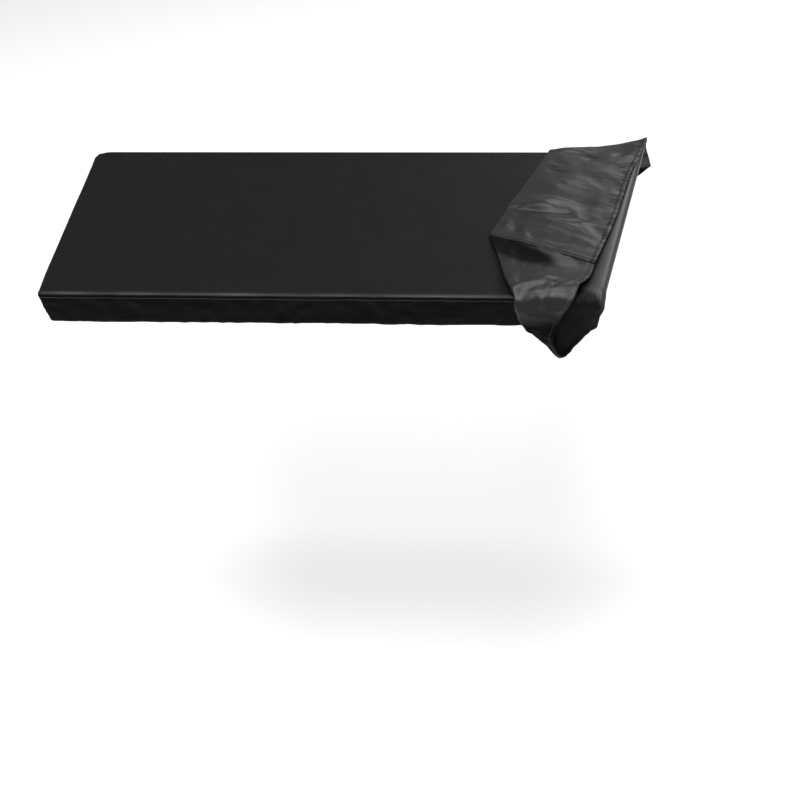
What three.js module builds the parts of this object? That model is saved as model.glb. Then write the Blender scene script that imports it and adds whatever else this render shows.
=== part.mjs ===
// A fitted cloth dust cover, as it hangs with its right end folded back over its top.
// Millimetres, +Z up, +X to the right, +Y to the back, origin at the mount under the top.
// A spot of the cloth is x along the cover, s along the profile that it lies on, and lift off that profile:
// s is below 0 down the front, runs to DEPTH over the top, and goes on down the back.
import * as THREE from "three";

// The cloth and its seams
const CLOTH = 1.5;
const SEAM_GAP = 0.3;

// The cover as it sits: its top rises to the back and its elastic hem is drawn in underneath
const LEFT_END = -475;
const DEPTH = 350;
const TOP_SLOPE = THREE.MathUtils.degToRad(5);
const FRONT_DROP = 44;
const BACK_DROP = FRONT_DROP + DEPTH * Math.sin(TOP_SLOPE);
const EDGE_ROUND = 6;
const END_INSET = 10;
const TUCK = 68;

// The round fold on the right, where the end turns back over the top, and how it dies out down the skirts
const FOLD_FRONT_X = 275;
const FOLD_BACK_X = 351;
const FOLD_RADIUS = 7;
const FOLD_TAPER_FROM = 150;
const FOLD_LEAN = 0.43;
const FOLD_HANG = { hang: 30, bend: 34, hem: 39 };

// The end seam once folded back, and how the doubled top settles from the fold towards it
const SEAM_FRONT = { x: 129, s: 130 };
const SEAM_BACK = { x: 240, s: 404 };
const SEAM_LIFT = 3.2;

// How far the side fold lies beyond the end seam, and which way in degrees, at the front and the back corner
const SEAM_TO_SIDE = 6;
const END_TURN = 1.8;
const SIDE_WAY_FRONT = 157;
const SIDE_WAY_BACK = 125;
const SIDE_WAY_BEND = 3;
const SETTLE_WIDTH = 46;

// Cloth that lies close on cloth stands off the two long edges a little more
const EDGE_STAND = 2;
const EDGE_STAND_WIDTH = 9;
const EDGE_STAND_BELOW = 12;

// The mount sits under the middle of what still covers
const MOUNT = { x: -100, s: DEPTH / 2, lift: -CLOTH / 2 };

// Cells of the sheets, how they draw together, and where they lie next to the edges
const CELLS = { main: 8, fold: 6, folded: 18, inner: 9, bending: 22, hang: 6, turn: 4, hem: 7, left: 6 };
const FINE_CELLS = 12;
const TOWARDS_FOLD = 1.8;
const FROM_FOLD = 1.5;
const BENDING_FROM = 0.66 * DEPTH;
const BENDING_TO = DEPTH - 10;
const EDGE_S = [0, 1.7, 3.3, 5];
const LEFT_SKIRT_S = [-4.4, 0, 2.5, 5];

// The folded-back end in sections, from the fold (at 0) to the corner seam (at 1) on the two long skirts,
// and from the front corner (0) to the back corner (1) on the end skirt.
// The sides tell where each section's far side folds over, the way in degrees that this fold faces, and its
// radius. The hems tell where the free edge lies, and how far the cloth before it stands up.
const FRONT_SIDES = [
  { at: 0, sideX: 254, sideS: -32, sideLift: 14, way: -67, turn: 1 },
  { at: 0.08, sideX: 239, sideS: -54, sideLift: 20, way: -55, turn: 2.5 },
  { at: 0.16, sideX: 221, sideS: -75, sideLift: 26, way: -90, turn: 3.5 },
  { at: 0.25, sideX: 204, sideS: -66, sideLift: 23, way: -135, turn: 4 },
  { at: 0.36, sideX: 186, sideS: -51, sideLift: 17, way: -140, turn: 4 },
  { at: 0.5, sideX: 167, sideS: -35, sideLift: 12, way: -155, turn: 4 },
  { at: 0.62, sideX: 160, sideS: -9, sideLift: 10, way: -170, turn: 3.5 },
  { at: 0.75, sideX: 150, sideS: 14, sideLift: 9, way: -178, turn: 3 },
  { at: 0.88, sideX: 137, sideS: 72, sideLift: 6.5, way: -188, turn: 2.4 },
];
const FRONT_HEMS = [
  { at: 0, hemX: 251, hemS: -39, hemLift: 14, belly: 0 },
  { at: 0.08, hemX: 239, hemS: -56, hemLift: 25, belly: 0 },
  { at: 0.16, hemX: 223, hemS: -68, hemLift: 32, belly: 0 },
  { at: 0.25, hemX: 213, hemS: -55, hemLift: 32, belly: 0 },
  { at: 0.36, hemX: 211, hemS: -42, hemLift: 31, belly: 0 },
  { at: 0.5, hemX: 218, hemS: -22, hemLift: 26, belly: 0 },
  { at: 0.62, hemX: 229, hemS: -6, hemLift: 21, belly: 3 },
  { at: 0.75, hemX: 241, hemS: 8, hemLift: 19, belly: 4 },
  { at: 0.88, hemX: 251, hemS: 25, hemLift: 19, belly: 3 },
];
const BACK_SIDES = [
  { at: 0, sideX: 317, sideS: 413, sideLift: 14, way: 67, turn: 1 },
  { at: 0.08, sideX: 297, sideS: 446, sideLift: 12, way: 50, turn: 2.5 },
  { at: 0.16, sideX: 287, sideS: 466, sideLift: 11, way: 80, turn: 2.5 },
  { at: 0.25, sideX: 270, sideS: 462, sideLift: 10, way: 110, turn: 3 },
  { at: 0.5, sideX: 250, sideS: 450, sideLift: 10, way: 125, turn: 3 },
  { at: 0.75, sideX: 238, sideS: 430, sideLift: 8, way: 130, turn: 3 },
];
const BACK_HEMS = [
  { at: 0, hemX: 314, hemS: 420, hemLift: 14, belly: 0 },
  { at: 0.08, hemX: 297, hemS: 448, hemLift: 16, belly: 0 },
  { at: 0.16, hemX: 290, hemS: 463, hemLift: 17, belly: 0 },
  { at: 0.25, hemX: 288, hemS: 446, hemLift: 19, belly: 0 },
  { at: 0.5, hemX: 320, hemS: 422, hemLift: 21, belly: 2 },
  { at: 0.75, hemX: 346, hemS: 403, hemLift: 22, belly: 3 },
];
const END_HEMS = [
  { at: 0, hemX: 261, hemS: 47, hemLift: 19, belly: 3 },
  { at: 0.3, hemX: 296, hemS: 153, hemLift: 18, belly: 4 },
  { at: 0.52, hemX: 314, hemS: 223, hemLift: 19, belly: 2 },
  { at: 0.68, hemX: 328, hemS: 275, hemLift: 19, belly: 0 },
  { at: 0.87, hemX: 353, hemS: 345, hemLift: 20, belly: 1 },
  { at: 1, hemX: 366, hemS: 385, hemLift: 23, belly: 3 },
];

// How far round the side fold turns: it opens out towards the fold of the top
const FULL_CURL = 3;
const LEAST_CURL = 0.2;
const CURL_OPENS = 16;

// The creases that pull across the end skirt: where they cross it, how wide and high, and how far they run
const END_CREASES = [
  { at: 0.13, width: 0.03, height: 3, from: 0.1, to: 0.75 },
  { at: 0.27, width: 0.045, height: 6, from: 0.02, to: 0.55 },
  { at: 0.36, width: 0.03, height: -3, from: 0.2, to: 0.9 },
  { at: 0.62, width: 0.05, height: 3, from: 0.3, to: 1 },
  { at: 0.84, width: 0.04, height: 4, from: 0.25, to: 0.9 },
];
const FRONT_CREASES = [
  { at: 0.7, width: 0.04, height: 3, from: 0.1, to: 1 },
  { at: 0.9, width: 0.03, height: 2.5, from: 0.2, to: 0.9 },
];

// The profile that the cover lies on
const RIGHT_ANGLE = Math.PI / 2;
const FULL_TURN = 360;
const PROFILE_START = -140;
const PROFILE_END = 520;
const PROFILE_STEP = 0.25;
const TOP_CORNERS = [
  { at: 0, angle: RIGHT_ANGLE - TOP_SLOPE },
  { at: DEPTH, angle: RIGHT_ANGLE + TOP_SLOPE },
];
const BOTTOM_CORNERS = [
  { at: -FRONT_DROP, angle: RIGHT_ANGLE },
  { at: DEPTH + BACK_DROP, angle: RIGHT_ANGLE },
];
const COST_OF_TURNING = 14;
const ROUNDING = 1e-9;

const { clamp, lerp, smoothstep } = THREE.MathUtils;
const steps = (count) => Array.from({ length: count + 1 }, (unused, index) => index / count);

// How far a rounded corner has turned at s, from 0 before it to 1 after it.
function turned(s, corner) {
  return clamp((s - corner.at) / (EDGE_ROUND * corner.angle) + 0.5, 0, 1);
}

// Points of a profile at even steps of s, with the front face on y = 0 and the top through the origin.
function walkProfile(corners, heading) {
  const points = [];
  let y = 0;
  let z = 0;
  for (let s = PROFILE_START; s <= PROFILE_END; s += PROFILE_STEP) {
    const angle = corners.reduce((left, corner) => left - corner.angle * turned(s, corner), heading);
    points.push({ y, z, angle });
    y += Math.cos(angle) * PROFILE_STEP;
    z += Math.sin(angle) * PROFILE_STEP;
  }
  const pointAt = (s) => points[Math.round((s - PROFILE_START) / PROFILE_STEP)];
  const shiftY = -pointAt(-FRONT_DROP / 2).y;
  const onTop = pointAt(DEPTH / 2);
  const shiftZ = (onTop.y + shiftY) * Math.tan(TOP_SLOPE) - onTop.z;
  return points.map((point) => ({ y: point.y + shiftY, z: point.z + shiftZ, angle: point.angle }));
}

const HANGING = walkProfile(TOP_CORNERS, RIGHT_ANGLE);
const DRAWN_IN = walkProfile([...TOP_CORNERS, ...BOTTOM_CORNERS], 2 * RIGHT_ANGLE);

// How much further a spot of the doubled cloth stands off where it bends over an edge.
function edgeStand(s, lift) {
  const nearest = Math.min(Math.abs(s), Math.abs(s - DEPTH));
  const close = Math.sin(Math.PI * clamp(lift / EDGE_STAND_BELOW, 0, 1));
  return EDGE_STAND * close * Math.exp(-((nearest / EDGE_STAND_WIDTH) ** 2));
}

// The point in space of a spot of the cloth.
function place(spot, profile = HANGING) {
  const { x, s } = spot;
  const lift = spot.lift + edgeStand(s, spot.lift);
  const index = (s - PROFILE_START) / PROFILE_STEP;
  const before = profile[Math.floor(index)];
  const after = profile[Math.floor(index) + 1];
  const share = index - Math.floor(index);
  const angle = lerp(before.angle, after.angle, share);
  const y = lerp(before.y, after.y, share) - lift * Math.sin(angle);
  const z = lerp(before.z, after.z, share) + lift * Math.cos(angle);
  return new THREE.Vector3(x, y, z);
}

const toSpace = (spot) => place(spot);

// The spot a share of the way between two others.
function between(a, b, share) {
  return { x: lerp(a.x, b.x, share), s: lerp(a.s, b.s, share), lift: lerp(a.lift, b.lift, share) };
}

// Reads a table of sections at any place between its rows, smoothly.
function sectionReader(rows) {
  const names = Object.keys(rows[0]);
  const values = rows.flatMap((row) => names.map((name) => row[name]));
  const places = rows.map((row) => row.at);
  const smooth = new THREE.CubicInterpolant(places, values, names.length, new Float32Array(names.length));
  return (at) => {
    const read = smooth.evaluate(at);
    return Object.fromEntries(names.map((name, index) => [name, read[index]]));
  };
}

// The rise of the creases at one place along and across a skirt.
function creaseLift(creases, at, across) {
  return creases.reduce((sum, crease) => {
    const run = clamp((across - crease.from) / (crease.to - crease.from), 0, 1);
    const ridge = Math.exp(-(((at - crease.at) / crease.width) ** 2));
    return sum + crease.height * ridge * Math.sin(Math.PI * run) ** 2;
  }, 0);
}

// Spots along a path, closer together where it bends.
function spread(path, cells) {
  const fine = steps(cells * FINE_CELLS);
  const points = fine.map((share) => place(path(share)));
  const costs = [0];
  let heading = null;
  for (let index = 1; index < points.length; index += 1) {
    const run = points[index].clone().sub(points[index - 1]);
    const bend = heading ? heading.angleTo(run) : 0;
    costs.push(costs[index - 1] + run.length() + COST_OF_TURNING * bend);
    heading = run;
  }
  return steps(cells).map((share) => {
    const wanted = share * costs[costs.length - 1];
    const index = Math.max(1, costs.findIndex((cost) => cost >= wanted - ROUNDING));
    const part = (wanted - costs[index - 1]) / (costs[index] - costs[index - 1]);
    return path(lerp(fine[index - 1], fine[index], part));
  });
}

// One section of the folded-back end: from its seam out to the side fold, round it, and back to the hem.
function foldedSection(seam, row, curl, creases) {
  const way = THREE.MathUtils.degToRad(row.way);
  const out = new THREE.Vector2(Math.cos(way), Math.sin(way));
  const rise = row.turn * (1 - Math.cos(curl));
  const start = {
    x: row.sideX - out.x * row.turn,
    s: row.sideS - out.y * row.turn,
    lift: row.sideLift - rise / 2,
  };
  const round = (share) => {
    const angle = curl * share;
    const reach = row.turn * Math.sin(angle);
    const lift = start.lift + row.turn * (1 - Math.cos(angle));
    return { x: start.x + out.x * reach, s: start.s + out.y * reach, lift };
  };
  const top = round(1);
  const hem = { x: row.hemX, s: row.hemS, lift: row.hemLift };
  const back = (share) => {
    const spot = between(top, hem, share);
    const stand = row.belly * Math.sin(Math.PI * share) + creaseLift(creases, row.at, share);
    return { x: spot.x, s: spot.s, lift: spot.lift + stand };
  };
  return [
    ...spread((share) => between(seam, start, share), CELLS.hang),
    ...steps(CELLS.turn).slice(1).map(round),
    ...spread(back, CELLS.hem).slice(1),
  ];
}

// The net drawn back by half a seam gap, square to its edge, from each border where it meets a neighbour.
function drawnBack(net, borders) {
  const lastRow = net.length - 1;
  const lastColumn = net[0].length - 1;
  const inwards = (edge, inner) => edge.map((point, index) => {
    const along = (edge[index + 1] ?? point).clone().sub(edge[index - 1] ?? point).normalize();
    const away = inner[index].clone().sub(point);
    return away.addScaledVector(along, -away.dot(along)).setLength(SEAM_GAP / 2);
  });
  const drawn = net.map((row) => row.map((point) => point.clone()));
  const columnOf = (index) => net.map((row) => row[index]);
  const drawRow = (i, inner) => inwards(net[i], net[inner]).forEach((step, j) => drawn[i][j].add(step));
  const drawColumn = (j, inner) => {
    inwards(columnOf(j), columnOf(inner)).forEach((step, i) => drawn[i][j].add(step));
  };
  if (borders.firstRow) drawRow(0, 1);
  if (borders.lastRow) drawRow(lastRow, lastRow - 1);
  if (borders.firstColumn) drawColumn(0, 1);
  if (borders.lastColumn) drawColumn(lastColumn, lastColumn - 1);
  return drawn;
}

// A closed thin body on both sides of a net of points. The borders are the neighbouring panels' next points
// beyond each seam, so that both panels end square to the same bend.
function sheetBody(net, borders = {}) {
  const lastRow = net.length - 1;
  const lastColumn = net[0].length - 1;
  const direction = (from, to) => to.clone().sub(from).normalize();
  const bisector = (before, point, after) => {
    const sum = new THREE.Vector3();
    if (before) sum.add(direction(before, point));
    if (after) sum.add(direction(point, after));
    return sum.normalize();
  };
  const rowAt = (i) => (i < 0 ? borders.firstRow : net[i] ?? borders.lastRow);
  const pointAt = (i, j) => {
    if (j < 0) return borders.firstColumn?.[i];
    return net[i][j] ?? borders.lastColumn?.[i];
  };
  const positions = [];
  const drawn = drawnBack(net, borders);
  for (const half of [CLOTH / 2, -CLOTH / 2]) {
    net.forEach((row, i) => row.forEach((point, j) => {
      const along = bisector(rowAt(i - 1)?.[j], point, rowAt(i + 1)?.[j]);
      const across = bisector(pointAt(i, j - 1), point, pointAt(i, j + 1));
      const normal = across.cross(along).normalize();
      positions.push(...drawn[i][j].addScaledVector(normal, half).toArray());
      drawn[i][j].addScaledVector(normal, -half);
    }));
  }
  const at = (i, j, layer) => (layer * net.length + i) * (lastColumn + 1) + j;
  const faces = [];
  const quad = (a, b, c, d) => faces.push(a, b, c, a, c, d);
  for (let i = 0; i < lastRow; i += 1) {
    for (let j = 0; j < lastColumn; j += 1) {
      const loop = [[i, j], [i, j + 1], [i + 1, j + 1], [i + 1, j]];
      const [a, b, c, d] = loop.map(([row, column]) => net[row][column]);
      if (b.distanceTo(d) < a.distanceTo(c)) loop.push(loop.shift());
      const [first, ...others] = loop;
      quad(...loop.map(([row, column]) => at(row, column, 0)));
      quad(...[first, ...others.toReversed()].map(([row, column]) => at(row, column, 1)));
    }
    quad(at(i, 0, 0), at(i + 1, 0, 0), at(i + 1, 0, 1), at(i, 0, 1));
    quad(at(i, lastColumn, 0), at(i, lastColumn, 1), at(i + 1, lastColumn, 1), at(i + 1, lastColumn, 0));
  }
  for (let j = 0; j < lastColumn; j += 1) {
    quad(at(0, j, 0), at(0, j, 1), at(0, j + 1, 1), at(0, j + 1, 0));
    quad(at(lastRow, j, 0), at(lastRow, j + 1, 0), at(lastRow, j + 1, 1), at(lastRow, j, 1));
  }
  return turnedOutwards(positions, faces);
}

// The geometry with its faces pointing out, whichever way the net was laid.
function turnedOutwards(positions, faces) {
  const corner = (index) => new THREE.Vector3().fromArray(positions, 3 * index);
  let volume = 0;
  for (let index = 0; index < faces.length; index += 3) {
    volume += corner(faces[index]).dot(corner(faces[index + 1]).cross(corner(faces[index + 2])));
  }
  const outwards = volume > 0 ? faces : faces.toReversed();
  const geometry = new THREE.BufferGeometry();
  geometry.setAttribute("position", new THREE.Float32BufferAttribute(positions, 3));
  geometry.setIndex(outwards);
  return geometry;
}

// Stations along the top and the long skirts: the part that still covers, the fold, and the turned-back end.
const MAIN_SHARES = steps(CELLS.main).map((share) => 1 - (1 - share) ** TOWARDS_FOLD);
const FOLD_SHARES = steps(CELLS.fold).slice(1);
const FOLDED_SHARES = steps(CELLS.folded).slice(1).map((share) => share ** FROM_FOLD);

// Stations over the depth, close together at the two rounded edges.
const INNER_S = steps(CELLS.inner).slice(1, -1).map((share) => share * BENDING_FROM);
const BENDING_S = steps(CELLS.bending).map((share) => lerp(BENDING_FROM, BENDING_TO, share));
const DEPTH_S = [...EDGE_S, ...INNER_S, ...BENDING_S, ...EDGE_S.map((s) => DEPTH - s).toReversed()];

const foldCentre = (s) => lerp(FOLD_FRONT_X, FOLD_BACK_X, s / DEPTH) - FOLD_RADIUS;

// The end seam of the folded-back top, at a share of its length from the front.
function endSeam(share) {
  const lift = SEAM_LIFT;
  return { x: lerp(SEAM_FRONT.x, SEAM_BACK.x, share), s: lerp(SEAM_FRONT.s, SEAM_BACK.s, share), lift };
}

// A spot of the doubled top between the fold (0) and the end seam (1).
function foldedTop(depthShare, share) {
  const s = DEPTH * depthShare;
  const fold = { x: foldCentre(s), s, lift: 2 * FOLD_RADIUS };
  const spot = between(fold, endSeam(depthShare), share);
  const fromFold = Math.hypot(spot.x - fold.x, spot.s - fold.s);
  const settled = smoothstep(fromFold, 0, SETTLE_WIDTH);
  return { x: spot.x, s: spot.s, lift: lerp(fold.lift, SEAM_LIFT, settled) };
}

// The round fold at one share of its turn, about a centre line at x.
function foldTurn(centreX, s, share) {
  const angle = Math.PI * share;
  const lift = FOLD_RADIUS * (1 - Math.cos(angle));
  return { x: centreX + FOLD_RADIUS * Math.sin(angle), s, lift };
}

function topPanel() {
  return DEPTH_S.map((s) => {
    const centre = foldCentre(s);
    return [
      ...MAIN_SHARES.map((share) => ({ x: lerp(LEFT_END, centre, share), s, lift: 0 })),
      ...FOLD_SHARES.map((share) => foldTurn(centre, s, share)),
      ...FOLDED_SHARES.map((share) => foldedTop(s / DEPTH, share)),
    ].map(toSpace);
  });
}

// The front (way -1) and back (way 1) skirts are one strip each, from the left corner to the folded one.
function longSkirt({ way, edge, drop, sides, hems, creases }) {
  const down = (distance) => edge + way * distance;
  const depthShare = way < 0 ? 0 : 1;
  const centre = foldCentre(edge);
  const edgeY = place({ x: 0, s: down(FRONT_DROP / 2), lift: 0 }).y;
  // How far down the cloth its cells lie, from a fully drawn-in hem (0) to the short hanging one (1).
  const distances = (pulledOut) => {
    const bend = EDGE_ROUND * RIGHT_ANGLE / 2;
    const hang = lerp(drop - bend, drop - FRONT_DROP + FOLD_HANG.hang, pulledOut);
    const round = lerp(drop + bend, drop - FRONT_DROP + FOLD_HANG.bend, pulledOut);
    const hem = lerp(drop + TUCK, drop - FRONT_DROP + FOLD_HANG.hem, pulledOut);
    const hangCells = CELLS.hang + 1 - EDGE_S.length;
    return [
      ...EDGE_S,
      ...steps(hangCells).slice(1).map((share) => lerp(EDGE_S.at(-1), hang, share)),
      ...steps(CELLS.turn).slice(1).map((share) => lerp(hang, round, share)),
      ...steps(CELLS.hem).slice(1).map((share) => lerp(round, hem, share)),
    ];
  };
  const mainColumn = (x) => {
    const pulledOut = smoothstep(x, FOLD_TAPER_FROM, centre);
    const nearEnd = clamp((x - LEFT_END) / (FOLD_TAPER_FROM - LEFT_END), 0, 1);
    return distances(pulledOut).map((far) => {
      const point = place({ x: x - FOLD_LEAN * far * pulledOut, s: down(far), lift: 0 }, DRAWN_IN);
      const underneath = far > drop ? Math.max(way * (edgeY - point.y), 0) : 0;
      const inset = END_INSET * Math.min(far / drop, 1) + underneath;
      return point.setX(point.x + inset * (1 - nearEnd));
    });
  };
  const foldColumn = (turn) => {
    return distances(1).map((far) => place(foldTurn(centre - FOLD_LEAN * far, down(far), turn)));
  };
  const readSide = sectionReader(sides);
  const readHem = sectionReader(hems);
  const foldedColumn = (share) => {
    const row = { ...readSide(share), ...readHem(share) };
    const curl = Math.min(FULL_CURL, LEAST_CURL + CURL_OPENS * share);
    return foldedSection(foldedTop(depthShare, share), row, curl, creases).map(toSpace);
  };
  return [
    ...MAIN_SHARES.map((share) => mainColumn(lerp(LEFT_END, centre, share))),
    ...FOLD_SHARES.map(foldColumn),
    ...FOLDED_SHARES.map(foldedColumn),
  ];
}

// The end skirt lies over the doubled top, from the end seam to the hem that opens to the right.
const readEndHem = sectionReader(END_HEMS);

function endSide(share) {
  const seam = endSeam(share);
  const way = lerp(SIDE_WAY_FRONT, SIDE_WAY_BACK, share ** SIDE_WAY_BEND);
  const angle = THREE.MathUtils.degToRad(way);
  const sideX = seam.x + SEAM_TO_SIDE * Math.cos(angle);
  const sideS = seam.s + SEAM_TO_SIDE * Math.sin(angle);
  return { sideX, sideS, sideLift: SEAM_LIFT + END_TURN, way, turn: END_TURN };
}

function endSkirt() {
  return DEPTH_S.map((s) => {
    const share = s / DEPTH;
    const row = { ...endSide(share), ...readEndHem(share) };
    return foldedSection(endSeam(share), row, FULL_CURL, END_CREASES).map(toSpace);
  });
}

// The left skirt hangs inside the top's edge and between the ends of the long skirts.
function leftSkirt() {
  const bottomZ = place({ x: 0, s: -FRONT_DROP - TUCK, lift: 0 }, DRAWN_IN).z;
  const middle = place({ x: 0, s: DEPTH / 2, lift: 0 }).y;
  const half = middle - CLOTH / 2 - SEAM_GAP;
  const inner = steps(CELLS.left).slice(1, -1).map((share) => share * DEPTH);
  const stations = [...LEFT_SKIRT_S, ...inner, ...LEFT_SKIRT_S.map((s) => DEPTH - s).toReversed()];
  return stations.map((s) => {
    const top = place({ x: LEFT_END + CLOTH / 2, s, lift: -CLOTH / 2 - SEAM_GAP });
    const y = middle + (top.y - middle) * (1 - SEAM_GAP / half);
    const hang = steps(CELLS.hang).map((share) => {
      const z = lerp(top.z, bottomZ + EDGE_ROUND, share);
      return new THREE.Vector3(top.x + END_INSET * (top.z - z) / (top.z - bottomZ), y, z);
    });
    const bottomX = LEFT_END + CLOTH / 2 + END_INSET;
    const bend = steps(CELLS.turn).slice(1).map((share) => {
      const angle = RIGHT_ANGLE * share;
      const x = bottomX + EDGE_ROUND * (1 - Math.cos(angle));
      return new THREE.Vector3(x, y, bottomZ + EDGE_ROUND * (1 - Math.sin(angle)));
    });
    const tuck = steps(CELLS.hem).slice(1).map((share) => {
      const x = lerp(bottomX + EDGE_ROUND, LEFT_END + END_INSET + TUCK, share);
      return new THREE.Vector3(x, y, bottomZ);
    });
    const mitred = [...bend, ...tuck].map((point) => {
      const inwards = Math.max(point.x - LEFT_END - END_INSET, 0);
      return point.setY(middle + (y - middle) * (half - inwards) / half);
    });
    return [...hang, ...mitred];
  });
}

// The long skirts end at the corner seams that they share with the end skirt
const frontCorner = { at: 1, ...endSide(0), way: SIDE_WAY_FRONT - FULL_TURN };
const backCorner = { at: 1, ...endSide(1) };
const FRONT = {
  way: -1,
  edge: 0,
  drop: FRONT_DROP,
  sides: [...FRONT_SIDES, frontCorner],
  hems: [...FRONT_HEMS, { ...END_HEMS[0], at: 1 }],
  creases: FRONT_CREASES,
};
const BACK = {
  way: 1,
  edge: DEPTH,
  drop: BACK_DROP,
  sides: [...BACK_SIDES, backCorner],
  hems: [...BACK_HEMS, END_HEMS.at(-1)],
  creases: [],
};

const top = topPanel();
const front = longSkirt(FRONT);
const back = longSkirt(BACK);
const end = endSkirt();
const column = (net, index) => net.map((row) => row.at(index));

// Each panel's neighbours at its seams: the points next to the shared edge
const topBorders = { firstRow: column(front, 1), lastRow: column(back, 1), lastColumn: column(end, 1) };
const frontBorders = { firstColumn: top[1], lastRow: end[1] };
const backBorders = { firstColumn: top.at(-2), lastRow: end.at(-2) };
const endBorders = { firstColumn: column(top, -2), firstRow: front.at(-2), lastRow: back.at(-2) };

const PANELS = [
  { name: "top_panel", geometry: sheetBody(top, topBorders), color: 0x262626, roughness: 0.85 },
  { name: "front_skirt", geometry: sheetBody(front, frontBorders), color: 0x222223, roughness: 0.8 },
  { name: "back_skirt", geometry: sheetBody(back, backBorders), color: 0x222223, roughness: 0.8 },
  { name: "left_skirt", geometry: sheetBody(leftSkirt()), color: 0x242425, roughness: 0.8 },
  { name: "right_skirt", geometry: sheetBody(end, endBorders), color: 0x3a393c, roughness: 0.6 },
];

const cover = new THREE.Group();
cover.position.copy(place(MOUNT)).negate();
for (const { name, geometry, color, roughness } of PANELS) {
  const mesh = new THREE.Mesh(geometry, new THREE.MeshStandardMaterial({ color, roughness, metalness: 0 }));
  mesh.name = name;
  cover.add(mesh);
}

export default cover;
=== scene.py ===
"""A fitted cloth dust cover as it hangs with its right end folded back over its top, in a small studio."""

import math

import bpy
import numpy as np
from bpy.props import FloatProperty, FloatVectorProperty, PointerProperty
from mathutils import Matrix, Vector


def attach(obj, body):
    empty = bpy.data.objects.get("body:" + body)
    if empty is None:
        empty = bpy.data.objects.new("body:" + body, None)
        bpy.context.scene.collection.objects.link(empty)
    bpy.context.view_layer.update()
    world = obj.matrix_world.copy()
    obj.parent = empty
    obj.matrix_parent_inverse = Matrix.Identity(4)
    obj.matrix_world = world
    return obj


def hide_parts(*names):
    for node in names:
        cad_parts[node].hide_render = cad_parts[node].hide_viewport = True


bl_info = {
    "name": "Fitted dust cover",
    "version": (1, 0, 0),
    "blender": (4, 5, 0),
    "location": "3D View > Sidebar > Dust cover",
    "description": "Makes the cloth, hems and stitching of a fitted dust cover, and a studio to show it in",
    "category": "Object",
}

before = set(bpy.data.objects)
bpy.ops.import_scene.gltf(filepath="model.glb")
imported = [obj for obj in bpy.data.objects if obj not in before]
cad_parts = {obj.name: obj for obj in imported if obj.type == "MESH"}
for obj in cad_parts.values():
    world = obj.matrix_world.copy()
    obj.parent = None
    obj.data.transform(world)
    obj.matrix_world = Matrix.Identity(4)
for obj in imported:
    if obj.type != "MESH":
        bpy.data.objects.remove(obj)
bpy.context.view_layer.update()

# Spots of the cloth are in millimetres: x along the cover, s along the profile that it lies on, and the lift
# off that profile. s is below 0 down the front, runs to DEPTH over the top, and goes on down the back.
MILLIMETRE = 0.001
LEFT_END = -475
DEPTH = 350
TOP_SLOPE = math.radians(5)
FRONT_DROP = 44
BACK_DROP = FRONT_DROP + DEPTH * math.sin(TOP_SLOPE)
EDGE_ROUND = 6
END_INSET = 10
TUCK = 68
SOLID_CLOTH = 1.5

# The fold where the end turns back over the top
FOLD_FRONT_X = 275
FOLD_BACK_X = 351
FOLD_RADIUS = 7
FOLD_TAPER_FROM = 150
FOLD_LEAN = 0.27
FOLD_HANG = {"hang": 30, "bend": 34, "hem": 39}

# The end seam once folded back, and the side fold next to it
SEAM_FRONT = (129, 130)
SEAM_BACK = (240, 404)
SEAM_LIFT = 1.8
SEAM_TO_SIDE = 6
END_TURN = 0.9
SIDE_WAY_FRONT = 157
SIDE_WAY_BACK = 125
SIDE_WAY_BEND = 3
SETTLE_WIDTH = 46

# Cloth that lies close on cloth stands off the two long edges a little more
EDGE_STAND = 0.7
EDGE_STAND_WIDTH = 9
EDGE_STAND_BELOW = 12

# The origin, on the underside of the solid top and under the middle of what still covers
MOUNT = (-100, DEPTH / 2, -SOLID_CLOTH / 2)

# The folded-back end in sections: where each side fold lies and faces, and where each hem lies
SIDE_NAMES = ("at", "side_x", "side_s", "side_lift", "way", "turn")
HEM_NAMES = ("at", "hem_x", "hem_s", "hem_lift", "belly")
FRONT_SIDES = [
    (0, 259.4, -32, 14, -67, 1),
    (0.08, 240, -53, 20, -55, 2),
    (0.16, 220, -76, 26, -90, 2.5),
    (0.25, 201, -58, 22, -135, 3),
    (0.36, 186, -46, 18, -140, 3.5),
    (0.5, 169, -34, 12, -155, 4),
    (0.62, 160, -9, 10, -170, 3.5),
    (0.75, 150, 14, 9, -178, 3),
    (0.88, 137, 72, 6.5, -188, 2.4),
]
FRONT_HEMS = [
    (0, 257.5, -39, 14, 0),
    (0.08, 240, -55, 25, 0),
    (0.16, 223, -69, 32, 0),
    (0.25, 212, -55, 32, 0),
    (0.36, 209, -42, 31, 0),
    (0.5, 214.5, -23, 26, 0),
    (0.62, 224, -5, 21, 2),
    (0.69, 235.5, 0, 20, 3),
    (0.75, 244.5, 7, 19, 3),
    (0.82, 252, 15, 19, 3),
    (0.88, 256.5, 25, 19, 3),
]
BACK_SIDES = [
    (0, 327, 413, 14, 67, 1),
    (0.08, 297, 446, 12, 50, 2.5),
    (0.16, 287, 466, 11, 80, 2.5),
    (0.25, 270, 462, 10, 110, 3),
    (0.5, 250, 450, 10, 125, 3),
    (0.75, 238, 430, 8, 130, 3),
]
BACK_HEMS = [
    (0, 325, 420, 14, 0),
    (0.08, 297, 448, 16, 0),
    (0.16, 290, 463, 17, 0),
    (0.25, 288, 446, 19, 0),
    (0.5, 320, 422, 21, 2),
    (0.75, 346, 403, 22, 3),
]
END_HEMS = [
    (0, 262.5, 47, 19, 3),
    (0.3, 296, 153, 18, 4),
    (0.52, 314, 223, 19, 2),
    (0.68, 328, 275, 19, 0),
    (0.87, 353, 345, 20, 1),
    (1, 366, 385, 23, 3),
]

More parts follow.
